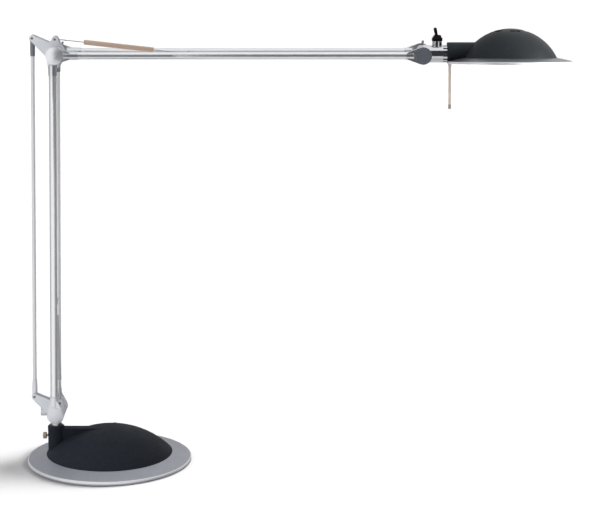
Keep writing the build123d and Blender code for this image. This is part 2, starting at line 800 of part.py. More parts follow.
# ---- tie rod ----
def tie_end(label, pivot, heading, radius, length, mouth_radius):
    """End fitting of the tie rod: a round bar with a ball end across its pin."""
    with BuildPart() as fitting:
        with BuildSketch(view_plane(pivot, heading)):
            with BuildLine():
                ThreePointArc((0, radius), (-radius, 0), (0, -radius))
                Line((0, -radius), (0, radius))
            make_face()
            split(bisect_by=Plane.XZ)
        revolve(axis=Axis(view_plane(pivot).origin, cross_plane(pivot, heading).z_dir))
        with BuildSketch(cross_plane(pivot, heading)):
            Circle(radius)
        extrude(amount=length * 0.6)
        with BuildSketch(cross_plane(pivot, heading, length * 0.6)):
            Circle(radius)
        with BuildSketch(cross_plane(pivot, heading, length)):
            Circle(mouth_radius)
        loft()
        with BuildSketch(view_plane(pivot)):
            Circle(tie_pin_radius + running)
        extrude(amount=2 * radius, both=True, mode=Mode.SUBTRACT)
        with BuildSketch(cross_plane(pivot, heading, length)):
            Circle(tie_rod_radius + seat)
        extrude(amount=-length * 0.5, mode=Mode.SUBTRACT)
    save(fitting, label)


tie_foot_mouth = tie_rod_radius + tie_foot_mouth_wall
tie_end("tie_rod_foot", foot_tie, post_heading, tie_foot_radius, tie_foot_length, tie_foot_mouth)
tie_end("tie_rod_top", elbow_tie, post_heading + 180, tie_end_radius, tie_end_length, tie_end_radius)
with BuildPart() as tie_rod:
    with BuildSketch(cross_plane(foot_tie, post_heading, tie_foot_length * 0.5 + seat)):
        Circle(tie_rod_radius)
    extrude(amount=post_length - tie_foot_length * 0.5 - tie_end_length * 0.5 - 2 * seat)
save(tie_rod, "tie_rod")


# ---- balance springs ----
def spring(label, hook, anchor, sleeve_from, sleeve_to):
    """Sleeved spring between two cross pins: eyes, straight wire, and the coil in its sleeve."""
    run = math.dist(hook, anchor)
    heading = math.degrees(math.atan2(anchor[1] - hook[1], anchor[0] - hook[0]))
    hook_eye = spring_pin_radius + seat + wire_radius
    anchor_eye = anchor_pin_radius + seat + wire_radius
    with BuildPart() as coil:
        for point, eye in ((hook, hook_eye), (anchor, anchor_eye)):
            with BuildSketch(cross_plane(point, heading)):
                with Locations((0, eye)):
                    Circle(wire_radius)
            revolve(axis=Axis((point[0], 0, point[1]), (0, 1, 0)))
        with BuildSketch(cross_plane(hook, heading, hook_eye + wire_start)):
            Circle(wire_radius)
        extrude(amount=run - hook_eye - anchor_eye - 2 * wire_start)
        with BuildSketch(cross_plane(hook, heading, sleeve_from + coil_inset)):
            Circle(coil_radius)
        extrude(amount=sleeve_to - sleeve_from - 2 * coil_inset)
    save(coil, label)
    with BuildPart() as sleeve:
        with BuildSketch(cross_plane(hook, heading, sleeve_from)):
            Circle(sleeve_radius)
            Circle(sleeve_radius - sleeve_wall, mode=Mode.SUBTRACT)
        extrude(amount=sleeve_to - sleeve_from)
    save(sleeve, f"{label}_sleeve")


arm_anchor = (elbow[0] + arm_spring_anchor, elbow[1])
post_line = aside(foot, post_heading, post_set_back)
post_anchor = (
    post_line[0] + post_spring_anchor * math.sin(math.radians(post_lean)),
    post_line[1] + post_spring_anchor * math.cos(math.radians(post_lean)),
)
spring("arm_spring", elbow_hook, arm_anchor, arm_sleeve_from, arm_sleeve_to)
spring("post_spring", foot_hook, post_anchor, post_sleeve_from, post_sleeve_to)
anchor_half = tube_offset - tube_radius + tube_wall + anchor_grip
cross_pins("arm_spring_anchor", anchor_half, [(arm_anchor, anchor_pin_radius)])
cross_pins("post_spring_anchor", anchor_half, [(post_anchor, anchor_pin_radius)])

# ---- head joint: hub, slotted barrel and switch ----
switch_x = head_pivot[0] + switch_offset
barrel_axis = cross_plane(head_pivot, 0.0)
with BuildPart() as head_barrel:
    with BuildSketch(view_plane(head_pivot)):
        Circle(head_hub_radius)
    extrude(amount=end_hub_half, both=True)
    with BuildSketch(barrel_axis):
        Circle(barrel_radius)
    extrude(amount=barrel_length)
    with BuildSketch(barrel_axis.offset(barrel_length - barrel_slot_length)):
        Circle(barrel_radius - barrel_wall)
        Circle(spindle_radius + collar_wall, mode=Mode.SUBTRACT)
    extrude(amount=barrel_slot_length, mode=Mode.SUBTRACT)
    with BuildSketch(barrel_axis.offset(barrel_length - barrel_slot_length)):
        with PolarLocations(barrel_radius + barrel_wall * 0.7, barrel_slots, start_angle=barrel_slot_turn):
            Rectangle(3 * barrel_wall, barrel_slot_width)
    extrude(amount=barrel_slot_length, mode=Mode.SUBTRACT)
    with BuildSketch(barrel_axis.offset(switch_offset + switch_radius + switch_wall)):
        Circle(spindle_radius + running)
    extrude(amount=barrel_length, mode=Mode.SUBTRACT)
    with BuildSketch(view_plane(head_pivot)):
        Circle(axle_radius + seat)
    extrude(amount=2 * end_hub_half, both=True, mode=Mode.SUBTRACT)
    with Locations((switch_x, 0, head_pivot[1] + switch_body_bottom - seat)):
        Cylinder(
            switch_radius + seat, 2 * barrel_radius,
            align=(Align.CENTER, Align.CENTER, Align.MIN), mode=Mode.SUBTRACT,
        )
save(head_barrel, "head_barrel")

with BuildPart() as toggle_switch:
    with Locations((switch_x, 0, head_pivot[1] + switch_body_bottom)):
        Cylinder(
            switch_radius, switch_top - switch_body_bottom, align=(Align.CENTER, Align.CENTER, Align.MIN)
        )
    with BuildSketch(Plane.XY.offset(head_pivot[1] + barrel_radius)):
        with Locations((switch_x, -switch_radius), (switch_x, switch_radius)):
            Rectangle(switch_key, switch_key)
    extrude(amount=switch_top - barrel_radius, mode=Mode.SUBTRACT)
    with Locations((switch_x, 0, head_pivot[1] + switch_top)):
        Cylinder(
            lever_ball_radius + 2 * free, switch_cup_depth,
            align=(Align.CENTER, Align.CENTER, Align.MAX), mode=Mode.SUBTRACT,
        )
save(toggle_switch, "toggle_switch")

boot_bottom = switch_top + seat
with BuildPart() as switch_boot:
    add(spun([
        (boot_radius, boot_bottom),
        (boot_radius, boot_bottom + boot_ring_height),
        (boot_waist, boot_bottom + boot_ring_height),
        (boot_neck, boot_bottom + boot_height),
        (boot_neck - boot_lip, boot_bottom + boot_height),
        (lever_pin_half + free, lever_pivot),
        (lever_pin_half + free, boot_bottom),
    ], view_plane((switch_x, head_pivot[1]))))
    with BuildSketch(Plane.XY.offset(head_pivot[1] + boot_bottom)):
        with Locations((switch_x, 0)):
            with PolarLocations(boot_radius, boot_ribs):
                Circle(boot_rib_radius)
    extrude(amount=boot_ring_height, mode=Mode.SUBTRACT)
save(switch_boot, "switch_boot")

lever_point = (switch_x, head_pivot[1] + lever_pivot)
lever_heading = 90.0 + lever_tilt
with BuildPart() as switch_lever:
    with Locations((lever_point[0], 0, lever_point[1])):
        Sphere(lever_ball_radius)
    lever_run = (lever_tip - lever_pivot) / math.cos(math.radians(lever_tilt)) - lever_radius
    with BuildSketch(cross_plane(lever_point, lever_heading)):
        Circle(lever_root_radius)
    with BuildSketch(cross_plane(lever_point, lever_heading, lever_run)):
        Circle(lever_radius)
    loft()
    with Locations(cross_plane(lever_point, lever_heading, lever_run)):
        Sphere(lever_radius)
    with BuildSketch(view_plane(lever_point)):
        Circle(lever_pin_radius)
    extrude(amount=lever_pin_half, both=True)
save(switch_lever, "switch_lever")

# ---- head: everything from here is rolled about the barrel's axis ----
head_tilt = Plane(
    origin=(head_centre_x, 0, head_pivot[1]),
    x_dir=(1, 0, 0),
    z_dir=(0, math.sin(math.radians(head_roll)), math.cos(math.radians(head_roll))),
)
head_side = Plane(origin=head_tilt.origin, x_dir=head_tilt.x_dir, z_dir=-head_tilt.y_dir)
neck_plane = Plane(origin=head_tilt.origin, x_dir=head_tilt.y_dir, z_dir=head_tilt.x_dir)
head_axis = Axis(head_tilt.origin, head_tilt.z_dir)
neck_start = -head_offset + barrel_length + free
spindle_start = -head_offset + switch_offset + switch_radius + switch_wall + free
handle_x = -head_radius + handle_inset
flange_mid = (dome_radius + head_radius) / 2


def flange_height(radius):
    """Height of the flange's top at a radius: it steepens evenly towards the lip."""
    share = (radius - dome_radius) / (head_radius - dome_radius)
    return dome_foot - flange_drop * share - flange_curl * share**2


def under_flange(lift):
    """Solid below the shade's top surface, lifted by a gap, out past the lip."""
    edge = head_radius + free
    with BuildPart(mode=Mode.PRIVATE) as solid:
        with BuildSketch(head_side):
            with BuildLine():
                Polyline((0, shade_hole_top + lift), (shade_hole_radius, shade_hole_top + lift),
                         (dome_radius, dome_foot + lift))
                ThreePointArc(
                    (dome_radius, dome_foot + lift),
                    (flange_mid, flange_height(flange_mid) + lift),
                    (head_radius - lip_edge, flange_height(head_radius) + lift),
                )
                Polyline((head_radius - lip_edge, flange_height(head_radius) + lift),
                         (edge, flange_height(head_radius) + lift), (edge, -3 * neck_radius),
                         (0, -3 * neck_radius), (0, shade_hole_top + lift))
            make_face()
        revolve(axis=head_axis)
    return solid.part


def head_spun(points):
    """Solid of revolution about the head's own axis."""
    with BuildPart(mode=Mode.PRIVATE) as solid:
        with BuildSketch(head_side):
            with BuildLine():
                Polyline(*points, close=True)
            make_face()
        revolve(axis=head_axis)
    return solid.part


def head_dome(radius, foot_height, apex):
    """Solid cap of a sphere about the head's own axis."""
    rise = apex - foot_height
    ball = (radius**2 + rise**2) / (2 * rise)
    mid = radius * arc_share
    mid_height = apex - ball + math.sqrt(ball**2 - mid**2)
    with BuildPart(mode=Mode.PRIVATE) as dome:
        with BuildSketch(head_side):
            with BuildLine():
                Line((0, foot_height), (radius, foot_height))
                ThreePointArc((radius, foot_height), (mid, mid_height), (0, apex))
                Line((0, apex), (0, foot_height))
            make_face()
        revolve(axis=head_axis)
    return dome.part


with BuildPart() as shade:
    with BuildSketch(head_side):
        with BuildLine():
            Line((shade_hole_radius, shade_hole_top), (dome_radius, dome_foot))
            ThreePointArc(
                (dome_radius, dome_foot),
                (flange_mid, flange_height(flange_mid)),
                (head_radius - lip_edge, flange_height(head_radius)),
            )
            Polyline(
                (head_radius - lip_edge, flange_height(head_radius)),
                (head_radius, flange_height(head_radius) - lip_edge),
                (head_radius, flange_height(head_radius) - lip_height),
                (head_radius - lip_thickness, flange_height(head_radius) - lip_height),
                (head_radius - lip_thickness, flange_height(head_radius) - flange_sheet - lip_root),
            )
            ThreePointArc(
                (head_radius - lip_thickness, flange_height(head_radius) - flange_sheet - lip_root),
                (flange_mid, flange_height(flange_mid) - flange_sheet),
                (dome_radius, dome_foot - flange_sheet),
            )
            Polyline(
                (dome_radius, dome_foot - flange_sheet),
                (shade_hole_radius, shade_hole_top - flange_sheet),
                (shade_hole_radius, shade_hole_top),
            )
        make_face()
    revolve(axis=head_axis)
    with BuildSketch(head_tilt):
        with Locations((handle_x, 0)):
            Circle(handle_radius + seat)
    extrude(amount=-head_radius, mode=Mode.SUBTRACT)
save(shade, "shade")


def vent_slots():
    """Curved slots round the dome's apex."""
    span = math.degrees((vent_length - vent_width) / vent_radius)
    with BuildSketch(mode=Mode.PRIVATE) as slots:
        for number in range(vent_count):
            middle = vent_turn + 360.0 / vent_count * number
            SlotArc(CenterArc((0, 0), vent_radius, middle - span / 2, span), vent_width)
    return slots.sketch


with BuildPart() as head_cover:
    add(head_dome(dome_radius, dome_foot + seat, dome_apex))
    with BuildSketch(neck_plane.offset(neck_start)):
        with Locations((0, neck_rise)):
            Circle(neck_radius)
    extrude(amount=-neck_start - dome_radius * arc_share)
    add(head_dome(dome_radius - dome_wall, dome_foot - dome_wall, dome_apex - dome_wall), mode=Mode.SUBTRACT)
    add(under_flange(seat), mode=Mode.SUBTRACT)
    with BuildSketch(neck_plane.offset(neck_start)):
        Circle(spindle_radius + seat)
    extrude(amount=spindle_start + spindle_length - neck_start, mode=Mode.SUBTRACT)
    with BuildSketch(neck_plane.offset(neck_start)):
        Circle(spindle_bore)
    extrude(amount=-neck_start, mode=Mode.SUBTRACT)
    with BuildSketch(head_tilt.offset(dome_foot)):
        with Locations((handle_x, 0)):
            Circle(handle_radius + seat)
    extrude(amount=-neck_radius, mode=Mode.SUBTRACT)
    with BuildSketch(head_tilt.offset(dome_apex / 2)):
        add(vent_slots())
    extrude(amount=dome_apex, mode=Mode.SUBTRACT)
save(head_cover, "head_cover")

with BuildPart() as head_spindle:
    with BuildSketch(neck_plane.offset(spindle_start)):
        Circle(spindle_radius)
        Circle(spindle_bore, mode=Mode.SUBTRACT)
    extrude(amount=spindle_length)
save(head_spindle, "head_spindle")

reflector_foot = shade_hole_top + seat
reflector_top = reflector_foot + reflector_depth
knee_radius = reflector_rim_radius * reflector_bulge
knee_height = reflector_foot + reflector_depth * reflector_knee
knee_wall = reflector_wall * math.sqrt(0.5)
with BuildPart() as reflector:
    with BuildSketch(head_side):
        with BuildLine():
            Line((reflector_flange_radius, reflector_foot), (reflector_rim_radius, reflector_foot))
            ThreePointArc(
                (reflector_rim_radius, reflector_foot),
                (knee_radius, knee_height),
                (holder_radius + seat, reflector_top),
            )
            Line(
                (holder_radius + seat, reflector_top), (holder_radius + seat, reflector_top + reflector_wall)
            )
            ThreePointArc(
                (holder_radius + seat, reflector_top + reflector_wall),
                (knee_radius + knee_wall, knee_height + knee_wall),
                (reflector_rim_radius + reflector_wall, reflector_foot + reflector_wall),
            )
            Polyline(
                (reflector_rim_radius + reflector_wall, reflector_foot + reflector_wall),
                (reflector_flange_radius, reflector_foot + reflector_wall),
                (reflector_flange_radius, reflector_foot),
            )
        make_face()
    revolve(axis=head_axis)
save(reflector, "reflector")

holder_bottom = reflector_top - holder_skirt
with BuildPart() as lamp_holder:
    with BuildSketch(head_tilt.offset(holder_bottom)):
        Circle(holder_radius)
    extrude(amount=holder_height)
    with BuildSketch(head_tilt.offset(holder_bottom)):
        Circle(bulb_radius + seat)
    extrude(amount=bulb_seat_depth, mode=Mode.SUBTRACT)
save(lamp_holder, "lamp_holder")

with BuildPart() as bulb:
    with BuildSketch(head_tilt.offset(holder_bottom + bulb_seat_depth - 2 * seat)):
        Circle(bulb_radius)
    extrude(amount=-bulb_length)
    fillet(bulb.edges().filter_by(GeomType.CIRCLE).sort_by(Axis.Z)[0], bulb_radius * 0.8)
save(bulb, "bulb")

glass_top = shade_hole_top - 2 * seat
with BuildPart() as glass_disc:
    with BuildSketch(head_tilt.offset(glass_top)):
        Circle(glass_radius)
    extrude(amount=-glass_thickness)
save(glass_disc, "glass_disc")

glass_bottom = glass_top - glass_thickness
ring_top = shade_hole_top - flange_sheet - seat
ring_slope = (shade_hole_top - dome_foot) / (dome_radius - shade_hole_radius)
with BuildPart() as glass_ring:
    add(head_spun([
        (ring_lip_radius, glass_bottom - seat),
        (shade_hole_radius, glass_bottom - seat),
        (shade_hole_radius, ring_top),
        (ring_radius, ring_top - ring_slope * (ring_radius - shade_hole_radius)),
        (ring_radius, glass_bottom - ring_lip),
        (ring_lip_radius, glass_bottom - ring_lip),
    ]))
save(glass_ring, "glass_ring")

handle_top = flange_height(head_radius - lip_thickness) - flange_sheet - 2 * free
handle_plane = Plane(
    origin=head_side.from_local_coords((handle_x, 0, 0)), x_dir=head_side.x_dir, z_dir=head_side.z_dir
)
with BuildPart() as handle_socket:
    add(spun([
        (handle_radius + seat, handle_top),
        (handle_socket_radius, handle_top),
        (handle_radius + handle_socket_lip, handle_top - handle_socket_height),
        (handle_radius + seat, handle_top - handle_socket_height),
    ], handle_plane))
save(handle_socket, "handle_socket")

handle_bottom = handle_top - handle_length
with BuildPart() as handle_rod:
    with BuildSketch(head_tilt.offset(handle_bottom + handle_tip_length)):
        with Locations((handle_x, 0)):
            Circle(handle_radius)
    extrude(amount=handle_length - handle_tip_length - handle_top + dome_foot - handle_sink)
save(handle_rod, "handle_rod")

with BuildPart() as handle_tip:
    with BuildSketch(head_tilt.offset(handle_bottom)):
        with Locations((handle_x, 0)):
            Circle(handle_tip_radius)
    extrude(amount=handle_tip_length - seat)
    fillet(handle_tip.edges().filter_by(GeomType.CIRCLE), handle_tip_round)
save(handle_tip, "handle_tip")
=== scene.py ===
import math
import bpy
import numpy as np
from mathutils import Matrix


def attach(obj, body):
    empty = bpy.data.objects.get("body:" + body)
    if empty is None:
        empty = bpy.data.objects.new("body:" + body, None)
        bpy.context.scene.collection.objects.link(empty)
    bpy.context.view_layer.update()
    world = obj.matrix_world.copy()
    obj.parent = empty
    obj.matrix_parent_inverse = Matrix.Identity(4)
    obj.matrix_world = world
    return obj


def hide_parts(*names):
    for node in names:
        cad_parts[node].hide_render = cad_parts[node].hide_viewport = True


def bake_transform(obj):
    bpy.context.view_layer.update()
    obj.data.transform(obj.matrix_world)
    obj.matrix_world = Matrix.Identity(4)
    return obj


# Looks for a balanced-arm desk lamp. Metres, in the part's own frame: the origin is the centre of
# the base on the table, +X towards the head, +Y away from the front, +Z up.
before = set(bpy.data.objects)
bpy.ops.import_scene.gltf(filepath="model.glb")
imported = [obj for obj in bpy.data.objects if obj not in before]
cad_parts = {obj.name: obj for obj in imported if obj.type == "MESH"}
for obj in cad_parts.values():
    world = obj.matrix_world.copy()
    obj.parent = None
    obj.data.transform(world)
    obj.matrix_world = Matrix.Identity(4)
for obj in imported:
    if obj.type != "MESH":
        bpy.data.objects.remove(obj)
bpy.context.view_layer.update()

MM = 0.001
SIDE = np.array((0.0, 1.0, 0.0))

# ---- places repeated from the part's source, in millimetres ----
FOOT = np.array((-69.0, 0.0, 70.0))            # lower pivot of the post
POST_LENGTH = 481.0
POST_LEAN = math.radians(1.22)
POST_WAY = np.array((math.sin(POST_LEAN), 0.0, math.cos(POST_LEAN)))
ELBOW = FOOT + POST_LENGTH * POST_WAY
ARM_LENGTH = 474.0
ARM_WAY = np.array((1.0, 0.0, 0.0))
HEAD_PIVOT = ELBOW + ARM_LENGTH * ARM_WAY
ELBOW_HOOK = ELBOW + (-0.4, 0.0, 19.0)
FOOT_HOOK = FOOT + (4.1, 0.0, 11.8)
ARM_ANCHOR = ELBOW + 171.5 * ARM_WAY
POST_SET_BACK = 2.0                            # the post's tubes behind the line of their pivots
POST_ANCHOR = FOOT + 150.0 * POST_WAY + POST_SET_BACK * np.array((-POST_WAY[2], 0.0, POST_WAY[0]))
WIRE_RADIUS = 0.6
COIL_RADIUS = 2.6                              # to the outside of the coil
HOOK_PIN_RADIUS = 1.4
ANCHOR_PIN_RADIUS = 2.0
SLEEVE_RADIUS = 3.15
SLEEVE_WALL = 0.4
ARM_SLEEVE = (37.2, 127.3)                     # the sleeves' ends, along the springs from the hooks
POST_SLEEVE = (32.0, 120.0)
SWITCH_X = HEAD_PIVOT[0] + 19.0                # axis of the toggle switch
SWITCH_RADIUS = 6.2
SWITCH_KEY = 1.6
BARREL_RADIUS = 11.2
BARREL_LENGTH = 31.8
BARREL_SLOT_LENGTH = 5.2
BARREL_BORE = 9.4                              # inside the barrel's slotted wall
BARREL_COLLAR = 7.4                            # outside the collar round the spindle
HEAD_ROLL = math.radians(6.0)
HEAD_CENTRE = HEAD_PIVOT + (113.7, 0.0, 0.0)
HEAD_AXIS = (0.0, math.sin(HEAD_ROLL), math.cos(HEAD_ROLL))

# ---- places painted brighter as highlights or darker as shade, in millimetres ----
BASE_ROLL_HIGHLIGHT = ((0.0, 0.0, 0.0), (0.0, 0.0, 1.0), 108.6, 3.0)      # the base plate's rolled edge, painted bright as a highlight
# The flange's turned-down lip, painted bright as a highlight.
FLANGE_LIP_HIGHLIGHT = (HEAD_CENTRE, HEAD_AXIS, 80.7, -40.0)
RIM_BLUR = 0.2
SLOT_SHADE_DEPTH = 0.15                            # how far below a plated face its slot is painted dark as shade

# ---- the springs' wire, in millimetres ----
COIL_INSET = 1.0                               # coil's end inside the sleeve's
COIL_PITCH = 2.02 * WIRE_RADIUS
COIL_STEPS = 18                                # points on each turn
EYE_GAP = 0.05                                 # between the eye and its pin
EYE_TURN = (30, 330)                           # degrees of the eye, from the spring's line
EYE_LEAVES = (0.5, 0.866)                      # the wire's direction where the eye ends
EYE_REACH = 3.0                                # eye radii from the pin to the straight wire
BEND_PULL = 4.0                                # length of the tangents of the bend between them

# ---- softness of the patterns ----
GRAIN = {"Detail": 3.0, "Roughness": 0.55}
CLOUD = {"Detail": 2.0, "Roughness": 0.55}
WAVES = {"Detail": 1.0, "Roughness": 0.55}
BUMP_STRENGTH = 0.6
BEVEL_SAMPLES = 6


# ---- materials ----
def colour(code):
    """sRGB hex code as the linear colour that a shader takes."""
    channels = [int(code[i:i + 2], 16) / 255 for i in (1, 3, 5)]
    return (*(c / 12.92 if c <= 0.04045 else ((c + 0.055) / 1.055) ** 2.4 for c in channels), 1.0)


def add(tree, kind, sockets=None, out=0, **settings):
    """One shader node: settings are its own properties, sockets its values or what feeds them.

    Gives the output that out names, or all of them for None.
    """
    made = tree.nodes.new(kind)
    for key, value in settings.items():
        setattr(made, key, value)
    for key, value in (sockets or {}).items():
        if isinstance(value, bpy.types.NodeSocket):
            tree.links.new(value, made.inputs[key])
        else:
            made.inputs[key].default_value = value
    return made.outputs[out] if made.outputs and out is not None else made.outputs


def blank(name):
    """A material without nodes, its tree and the object's own coordinates."""
    material = bpy.data.materials.new(name)
    material.use_nodes = True
    tree = material.node_tree
    tree.nodes.clear()
    return material, tree, add(tree, "ShaderNodeTexCoord", out="Object")


def turned(tree, place, centre, axis):
    """Coordinates for a turned piece: how far from its axis, and how far along it."""
    centre = tuple(c * MM for c in centre)
    arm = add(tree, "ShaderNodeVectorMath", {0: place, 1: centre}, operation="SUBTRACT")
    along = add(tree, "ShaderNodeVectorMath", {0: arm, 1: axis}, "Value", operation="DOT_PRODUCT")
    across = add(tree, "ShaderNodeVectorMath", {0: arm, 1: axis}, operation="CROSS_PRODUCT")
    reach = add(tree, "ShaderNodeVectorMath", {0: across}, "Value", operation="LENGTH")
    return add(tree, "ShaderNodeCombineXYZ", {0: reach, 1: along})


def finish(
    name, main, fleck, grain, bump, rough, stretch=(1, 1, 1), edge=0.2, cloud=14.0, spin=None,
    highlight_rim=None, bright=None, **shader,
):
    """A material whose colour runs between two tones on a fine grain, with a bump of that grain.

    grain is the grain's size, bump its depth, edge the radius that light sees on sharp edges and
    cloud the size of the slow change in gloss, all in mm. rough is the lowest and highest
    roughness. stretch above 1 makes the grain finer along that axis. spin is the centre and axis
    about which the grain runs in rings. highlight_rim is a centre, an axis, a radius and a height
    along the axis beyond which the bright colour is painted on as a highlight.
    """
    material, tree, place = blank(name)
    ground = turned(tree, place, *spin) if spin else place
    ground = add(tree, "ShaderNodeMapping", {"Vector": ground, "Scale": stretch})
    fine = add(tree, "ShaderNodeTexNoise", {"Vector": ground, "Scale": 1 / (grain * MM), **GRAIN})
    share = add(tree, "ShaderNodeMapRange", {0: fine, 1: 0.35, 2: 0.65})
    tones = {6: colour(main), 7: colour(fleck)}
    tone = add(tree, "ShaderNodeMix", {0: share, **tones}, 2, data_type="RGBA")
    # Past the rim's radius and height the bright colour is painted on as a highlight.
    if highlight_rim:
        centre, axis, radius, height = highlight_rim
        ground = turned(tree, place, centre, axis)
        reach, along, _ = add(tree, "ShaderNodeSeparateXYZ", {0: ground}, None)
        past = {0: reach, 1: (radius - RIM_BLUR) * MM, 2: radius * MM}
        above = {0: along, 1: (height - RIM_BLUR) * MM, 2: height * MM}
        past, above = (add(tree, "ShaderNodeMapRange", limit) for limit in (past, above))
        both = add(tree, "ShaderNodeMath", {0: past, 1: above}, operation="MULTIPLY")
        tone = add(tree, "ShaderNodeMix", {0: both, 6: tone, 7: colour(bright)}, 2, data_type="RGBA")
    slow = add(tree, "ShaderNodeTexNoise", {"Vector": place, "Scale": 1 / (cloud * MM), **CLOUD})
    gloss = add(tree, "ShaderNodeMapRange", {0: slow, 1: 0.3, 2: 0.7, 3: rough[0], 4: rough[1]})
    relief = add(tree, "ShaderNodeBump", {
        "Height": fine, "Distance": bump * MM, "Strength": BUMP_STRENGTH,
        "Normal": add(tree, "ShaderNodeBevel", {"Radius": edge * MM}, samples=BEVEL_SAMPLES),
    })
    surface = add(tree, "ShaderNodeBsdfPrincipled", {
        "Base Color": tone, "Roughness": gloss, "Normal": relief, **shader,
    })
    add(tree, "ShaderNodeOutputMaterial", {"Surface": surface})
    return material


# Flake, grain and die lines are drawn 0.3 to 1.2 mm wide: finer ones, as on the real finishes,
# wouldn't show.

# Moulded nitrile rubber: dull and near black.
rubber = finish("moulded_rubber", "#1C1C1D", "#262627", 0.6, 0.03, (0.75, 0.9))
# Pressed steel under silver stoving lacquer: fine metal flake gives a soft grey sheen. The rolled
# edge is painted bright metal as a highlight.
silver_lacquer = finish(
    "silver_stoving_lacquer", "#9295A0", "#AAADB4", 0.9, 0.008, (0.36, 0.44), Metallic=0.55,
    highlight_rim=BASE_ROLL_HIGHLIGHT, bright="#E6E8EB",
)
# Grey iron as cast: dark and rough. It shows only where the base is opened.
grey_iron = finish("grey_cast_iron", "#3A3A3C", "#4C4B4A", 1.2, 0.15, (0.6, 0.8), Metallic=0.7)
# ABS moulded against a spark-eroded tool: charcoal, a fine even grain that scatters the light.
textured_abs = finish(
    "textured_charcoal_abs", "#1A1E24", "#292D35", 1.1, 0.06, (0.55, 0.65), edge=0.5,
    **{"Specular IOR Level": 0.08},
)
# The same ABS on the head, worn a little smoother by hands.
head_abs = finish(
    "handled_charcoal_abs", "#1B1E20", "#282C2F", 1.1, 0.04, (0.42, 0.5), edge=0.5,
    **{"Specular IOR Level": 0.13},
)
# Neoprene boot and acetal lever: black with a soft shine.
switch_rubber = finish(
    "black_neoprene", "#080707", "#121110", 0.7, 0.02, (0.35, 0.5), **{"Specular IOR Level": 0.2},
)
# Glass-filled nylon gland: black, slightly grainy.
gland_nylon = finish("black_nylon", "#141415", "#1E1E20", 0.8, 0.03, (0.45, 0.6))
# Polyester tape wound on the transformer: yellow, glossy, its turns lying flat.
wound_tape = finish(
    "polyester_tape", "#B8902F", "#C9A347", 3.0, 0.1, (0.25, 0.4), stretch=(1, 1, 4),
)
# Zinc-plated turned steel: bright, slightly mottled by the plating.
zinc_steel = finish(
    "zinc_plated_steel", "#B9BBBE", "#CFD1D3", 0.4, 0.004, (0.22, 0.34), Metallic=1.0,
)
# Burnished steel pins: dark and brownish.
burnished_steel = finish(
    "burnished_steel", "#5B514B", "#776C64", 0.4, 0.004, (0.3, 0.45), Metallic=0.9,
)
# Drawn stainless rod: bright, with faint lines along it.
drawn_rod = finish(
    "drawn_stainless_rod", "#D6D7D9", "#E0E1E3", 0.4, 0.002, (0.3, 0.4), stretch=(1, 1, 0.02),
    Metallic=0.35,
)
# Drawn spring wire: hard, bright and slightly uneven.
spring_wire = finish(
    "drawn_spring_wire", "#A9AAAC", "#C0C1C2", 0.3, 0.004, (0.25, 0.35), Metallic=1.0,
)
# Natural acetal washers: milky white and slippery.
acetal = finish("natural_acetal", "#D9D9D4", "#E4E4E0", 1.0, 0.01, (0.35, 0.45))
# Brass screw and knob darkened to bronze, with paler metal showing through in flecks.
bronzed_brass = finish(
    "bronzed_brass", "#857465", "#BFAD9B", 0.8, 0.02, (0.3, 0.45), Metallic=0.8,
)
# Zinc die-casting under satin silver lacquer: pale, even and softly grained.
satin_casting = finish(
    "satin_lacquered_zinc", "#D3D6DC", "#DDE0E4", 0.6, 0.004, (0.36, 0.44), edge=0.4, Metallic=0.35,
)
# The sockets at the elbow and the head, buffed and chromed: bright, with dark reflections.
buffed_casting = finish(
    "buffed_chromed_zinc", "#D9DBE0", "#E3E5E8", 0.6, 0.002, (0.16, 0.24), edge=0.4, Metallic=0.88,
)
# The foot's sockets, lacquered over a buffed casting: between the two.
lustrous_casting = finish(
    "lustrous_lacquered_zinc", "#DADCE2", "#E3E5E9", 0.6, 0.003, (0.28, 0.36), edge=0.4,
    Metallic=0.45,
)
# Zinc rod end with a gunmetal plating: darker than the castings.
gunmetal = finish(
    "gunmetal_plated_zinc", "#767B81", "#868B91", 0.5, 0.004, (0.32, 0.42), Metallic=0.8,
)
# Spun aluminium flange under silver lacquer: the spinning tool's rings show faintly. Its
# turned-down lip is painted bright as a highlight.
flange_lacquer = finish(
    "silver_lacquered_spinning", "#696D73", "#787C81", 0.8, 0.004, (0.3, 0.38), Metallic=0.7,
    stretch=(1, 0.05, 0.05), spin=(HEAD_CENTRE, HEAD_AXIS), highlight_rim=FLANGE_LIP_HIGHLIGHT, bright="#F6F7F8",
)
# Brightened aluminium reflector: spun, then dimpled to spread the light.
bright_aluminium = finish(
    "brightened_aluminium", "#D8D9DB", "#E5E6E8", 4.0, 0.12, (0.08, 0.15), Metallic=1.0,
)
# Steatite lamp holder: white unglazed ceramic.
steatite = finish("steatite", "#E2DFD8", "#EDEAE4", 0.8, 0.03, (0.6, 0.75))
# Vinyl-coated glass sleeving, semi-matt: tan over the arm's spring, grey over the post's.
tan_sleeving = finish("tan_sleeving", "#B89E8B", "#C9AF9B", 0.7, 0.015, (0.45, 0.6))
grey_sleeving = finish("grey_sleeving", "#A9AAAD", "#BBBCBE", 0.7, 0.015, (0.45, 0.6))
# Cream acetal handle rod, and its tip greyed by fingers.
cream_acetal = finish("cream_acetal", "#CDBDA9", "#DACCBB", 0.8, 0.006, (0.35, 0.45))
greyed_acetal = finish("greyed_acetal", "#958D82", "#A59D92", 0.8, 0.006, (0.35, 0.45))
# Black acetal bush in the tower.
black_acetal = finish("black_acetal", "#15171A", "#202226", 0.8, 0.006, (0.35, 0.45))


def drawn_tube(name, stretch, rough, metallic, main="#EAECEF", fleck="#F2F3F5"):
    """Anodised tube, with the die's faint lines along its length."""
    return finish(
        name, main, fleck, 0.35, 0.0005, rough, stretch=stretch, cloud=90.0, Metallic=metallic,
    )
